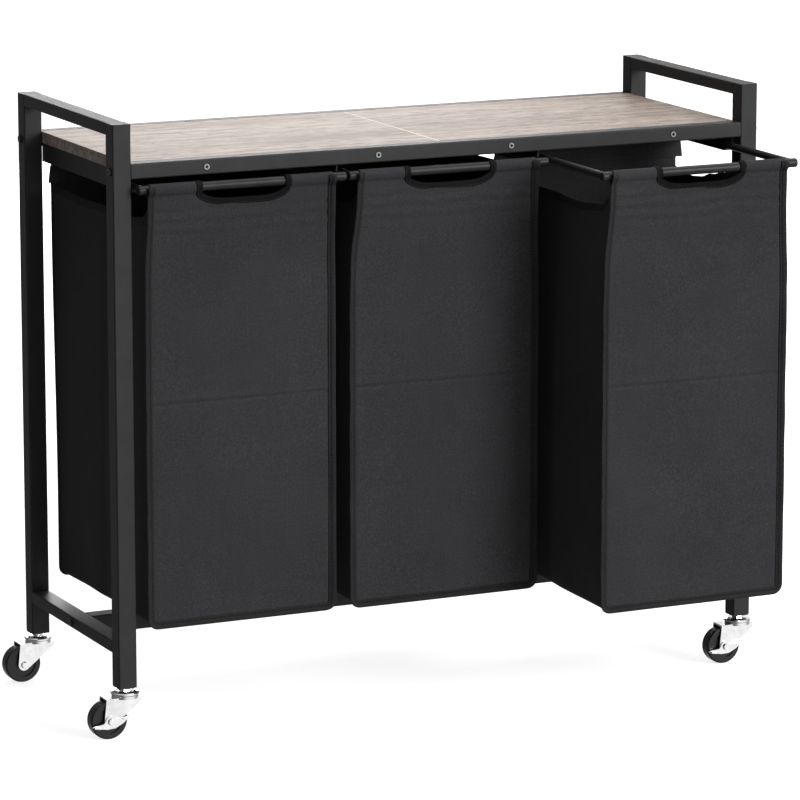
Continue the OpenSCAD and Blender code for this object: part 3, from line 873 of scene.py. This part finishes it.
    # cut-out binding, folded over the edge of the cloth from one sleeve to the other
    path, outs, ups = [], [], []
    loop = []
    for a in range(-20, 196, 12):
        loop.append((ROD_Y + (SLEEVE_R) * math.cos(math.radians(a)), ROD_Z + (SLEEVE_R) * math.sin(math.radians(a)),
                     math.cos(math.radians(a)), math.sin(math.radians(a))))
    left = []
    for (yy, zz, ny, nzv) in loop:
        left.append((Vector((-GRIP, yy, zz)), Vector((-1, 0, 0)), Vector((0, ny, nzv))))
    left.append((Vector((-GRIP, -186.6, 711.0)), Vector((-1, 0, 0)), Vector((0, -0.96, 0.28)).normalized()))
    nb = 46
    midp = []
    for k in range(nb + 1):
        x = -GRIP + 2 * GRIP * k / nb
        z = ztop(x)
        dzdx = (TOP_Z - 699.0) * 4.5 * (abs(x) / GRIP) ** 3.5 / GRIP * (1 if x > 0 else -1)
        # direction into the cloth: perpendicular to the edge, away from the hole
        q = Vector((dzdx, 0, -1)).normalized()
        if k == 0:
            q = Vector((-0.8, 0, -0.6))
        if k == nb:
            q = Vector((0.8, 0, -0.6))
        u = max(-1.0, min(1.0, x / 127.0))
        midp.append((Vector((x, front_y(x, z, u), z)), q.normalized(), Vector((0, -1, 0.03)).normalized()))
    right = [(Vector((-p.x, p.y, p.z)), Vector((1, 0, 0)), n) for p, q, n in left[::-1]]
    for p, q, n in left + midp + right:
        path.append(p)
        outs.append(q)
        ups.append(n)
    # the section runs from just past the edge to 6 mm inside the cloth
    sec = [(-0.9, 0.0), (-0.6, -0.95), (1.0, -1.25), (7.4, -1.2), (8.4, -0.7), (8.4, 0.7), (7.4, 1.25), (1.0, 1.3), (-0.6, 1.0)]
    gt = Sheet()
    sweep(gt, path, outs, ups, sec, 0.05)
    build(gt, "bag_%s_grip_tape" % side, shift, "grip_tape", body, 0.0, 1)
    stitch_line(st, [p + q * 6.4 + n * 1.15 for p, q, n in zip(path, outs, ups)], ups, 3.6, 2.3)

    # hems along the upper edges of the sides
    for g, col in ((-1, 0), (1, len(ggrid[0]) - 1)):
        path, outs, ups = [], [], []
        nxt = 1 if g < 0 else -1
        for r, row in enumerate(ggrid):
            if r == 0:
                continue
            p = Vector(gpts[row[col]])
            q = Vector(gpts[row[col + 2 * nxt]]) - p
            path.append(p)
            outs.append(q.normalized())
            ups.append(Vector((g, 0, 0)))
        sec = [(-0.7, 0.0), (-0.3, -0.85), (1.0, -1.15), (9.0, -1.15), (9.8, -0.6), (9.8, 0.6), (9.0, 1.15), (1.0, 1.15), (-0.3, 0.85)]
        sweep(sh, path, outs, ups, sec, 0.2)
        for sgn in (-1, 1):
            stitch_line(st, [p + q * 7.6 + n * sgn * 1.05 for p, q, n in zip(path, outs, ups)], [n * sgn for n in ups])

    build(sh, "bag_%s_bindings" % side, shift, "binding", body, 0.0, 1)

    # seams across the panels: under each sleeve at the front, and along the rear band
    for x0, x1 in ((-119.0, -66.0), (66.0, 119.0)):
        pts = [Vector((x, front_y(x, 697.5, x / 127.0) - 0.45, 697.5)) for x in np.linspace(x0, x1, 30)]
        stitch_line(st, pts, [Vector((0, -1, 0))] * len(pts))
    for zz in (703.0, 685.5):
        pts = [Vector((x, 134.0 + 0.8 * nz(x, zz, sd * 21, 1 / 45.0) + 0.5 * math.sin(x / 9.0 + sd) * (707 - zz) / 40.0 - 1.35, zz))
               for x in np.linspace(-124, 124, 120)]
        stitch_line(st, pts, [Vector((0, -1, 0))] * len(pts))
    pts = [Vector((x, 137.2 + 1.6 * nz(x, sd * 13, 686, 1 / 150.0) + 0.7 * nz(x, sd * 19, 686, 1 / 50.0) + 0.5, 686.0))
           for x in np.linspace(-119, 117, 120)]
    stitch_line(st, pts, [Vector((0, 1, 0))] * len(pts))
    build(st, "bag_%s_stitching" % side, shift, "thread", body, 0.0, 0)


for side, B in BAGS.items():
    make_bag(side, B)

# painted shade: dark cross pieces set into the heads of the board screws, standing in for the shade in their recesses
def islands(me):
    """Groups of vertex indices joined by edges."""
    up = list(range(len(me.vertices)))

    def root(i):
        while up[i] != i:
            up[i] = up[up[i]]
            i = up[i]
        return i

    for e in me.edges:
        a, b = root(e.vertices[0]), root(e.vertices[1])
        up[a] = b
    out = {}
    for i in range(len(up)):
        out.setdefault(root(i), []).append(i)
    return list(out.values())


so = frame["nodes"]["board_screws"]
rc = Sheet()
for isl in islands(so.data):
    P = [so.matrix_world @ so.data.vertices[i].co for i in isl]
    y_lo, y_hi = min(p.y for p in P), max(p.y for p in P)
    front = y_lo < OY
    yh = y_lo if front else y_hi
    head = [p for p in P if abs(p.y - yh) < 0.0008]
    cx_ = (min(p.x for p in P) + max(p.x for p in P)) / 2
    cz_ = (min(p.z for p in P) + max(p.z for p in P)) / 2
    r_ = max(math.hypot(p.x - cx_, p.z - cz_) for p in head) / MM
    s_ = -1.0 if front else 1.0
    x0, y0, z0_ = (cx_ - OX) / MM, (yh - OY) / MM, cz_ / MM
    a_, b_ = r_ * 0.62, r_ * 0.24
    cross = [(a_, b_), (b_, b_), (b_, a_), (-b_, a_), (-b_, b_), (-a_, b_), (-a_, -b_), (-b_, -b_), (-b_, -a_),
             (b_, -a_), (b_, -b_), (a_, -b_)]
    f0 = [rc.add((x0 + p, y0 - s_ * 0.5, z0_ + q), (p * MM, q * MM)) for p, q in cross]
    f1 = [rc.add((x0 + p, y0 + s_ * 0.12, z0_ + q), (p * MM, q * MM)) for p, q in cross]
    rc.f.append(tuple(f0))
    rc.f.append(tuple(f1[::-1]))
    for k in range(12):
        rc.f.append((f0[k], f1[k], f1[(k + 1) % 12], f0[(k + 1) % 12]))
# the cross pieces are painted shade, made in the black bolt colour
build(rc, "screw_recess_shade", (0, 0, 0), "black_bolts", "frame", 0.0, 0, False)

# ------------------------------------------------------------------ stage, light, camera
scene = bpy.context.scene
me = bpy.data.meshes.new("floor")
S = 30.0
me.from_pydata([(-S, -S, 0), (S, -S, 0), (S, S, 0), (-S, S, 0)], [], [(0, 1, 2, 3)])
floor = bpy.data.objects.new("floor", me)
scene.collection.objects.link(floor)
fm = bpy.data.materials.new("floor_white")
fm.use_nodes = True
ft = fm.node_tree
fb = ft.nodes["Principled BSDF"]
fb.inputs["Base Color"].default_value = (0.50, 0.50, 0.50, 1)
fb.inputs["Roughness"].default_value = 0.9
fb.inputs["Specular IOR Level"].default_value = 0.0
fb.inputs["Emission Color"].default_value = (1, 1, 1, 1)
# painted light: the floor glows, weaker under the object so the shadows there show, and white all round it
tc = ft.nodes.new("ShaderNodeTexCoord")
ln = ft.nodes.new("ShaderNodeVectorMath")
ln.operation = "LENGTH"
mr = ft.nodes.new("ShaderNodeMapRange")
mr.interpolation_type = "SMOOTHSTEP"
for i, v in ((1, 0.5), (2, 2.6), (3, 0.74), (4, 1.02)):
    mr.inputs[i].default_value = v
ft.links.new(tc.outputs["Object"], ln.inputs[0])
ft.links.new(ln.outputs["Value"], mr.inputs[0])
ft.links.new(mr.outputs[0], fb.inputs["Emission Strength"])
me.materials.append(fm)
floor.visible_diffuse = False
floor.visible_glossy = False

# soft studio: a dim room, a broad soft wall of light at the front right, some from above and behind
world = bpy.data.worlds.new("studio")
scene.world = world
world.use_nodes = True
wt = world.node_tree
bg = wt.nodes["Background"]
tc = wt.nodes.new("ShaderNodeTexCoord")


def lobe(direction, lo, hi, strength):
    d = wt.nodes.new("ShaderNodeVectorMath")
    d.operation = "DOT_PRODUCT"
    wt.links.new(tc.outputs["Generated"], d.inputs[0])
    d.inputs[1].default_value = Vector(direction).normalized()
    r = wt.nodes.new("ShaderNodeMapRange")
    r.interpolation_type = "SMOOTHSTEP"
    for i, v in ((1, lo), (2, hi), (3, 0.0), (4, strength)):
        r.inputs[i].default_value = v
    wt.links.new(d.outputs["Value"], r.inputs[0])
    return r.outputs[0]


def added(a, b):
    x = wt.nodes.new("ShaderNodeMath")
    x.operation = "ADD"
    for sock, v in zip(x.inputs, (a, b)):
        if hasattr(v, "is_output"):
            wt.links.new(v, sock)
        else:
            sock.default_value = v
    return x.outputs[0]


total = added(lobe((0.42, -0.89, 0.05), 0.35, 0.98, 0.95), 0.17)
total = added(total, lobe((0.1, -0.2, 1.0), 0.35, 0.98, 0.55))
total = added(total, lobe((0.60, 0.80, -0.15), 0.5, 0.98, 0.85))
bg.inputs["Color"].default_value = (1, 1, 1, 1)
wt.links.new(total, bg.inputs["Strength"])
# the backdrop itself is plain white
white = wt.nodes.new("ShaderNodeBackground")
seen = wt.nodes.new("ShaderNodeLightPath")
pick = wt.nodes.new("ShaderNodeMixShader")
wt.links.new(seen.outputs["Is Camera Ray"], pick.inputs[0])
wt.links.new(bg.outputs[0], pick.inputs[1])
white.inputs["Color"].default_value = (1, 1, 1, 1)
wt.links.new(white.outputs[0], pick.inputs[2])
wt.links.new(pick.outputs[0], wt.nodes["World Output"].inputs["Surface"])


def area(name, loc, target, size, power, size_y=None):
    d = bpy.data.lights.new(name, "AREA")
    d.energy = power
    d.shape = "RECTANGLE"
    d.size = size
    d.size_y = size_y or size
    ob = bpy.data.objects.new(name, d)
    scene.collection.objects.link(ob)
    ob.location = loc
    ob.rotation_mode = "QUATERNION"
    ob.rotation_quaternion = (Vector(target) - Vector(loc)).to_track_quat("-Z", "Y")
    return ob


area("key_front_right", (3.0, -5.2, 2.3), (0, 0, 0.45), 2.4, 320)
area("top_soft", (1.0, 0.5, 3.2), (0, 0, 0.6), 2.6, 55)
area("fill_rear", (1.4, 4.5, 0.9), (0, 0, 0.45), 2.0, 100)

cam_d = bpy.data.cameras.new("camera")
cam = bpy.data.objects.new("camera", cam_d)
scene.collection.objects.link(cam)
cam_d.sensor_width = 36.0
cam_d.lens = 207.94
cam_d.clip_start = 0.05
cam_d.clip_end = 100.0
yaw, pitch = -0.43947, 0.20147
fwd = Vector((-math.sin(yaw) * math.cos(pitch), math.cos(yaw) * math.cos(pitch), -math.sin(pitch)))
cam.location = (-2.5739, -5.46095, 1.6243)
cam.rotation_mode = "QUATERNION"
cam.rotation_quaternion = fwd.to_track_quat("-Z", "Y")
scene.camera = cam
scene.view_settings.view_transform = "Standard"
scene.view_settings.look = "None"

bpy.context.view_layer.update()
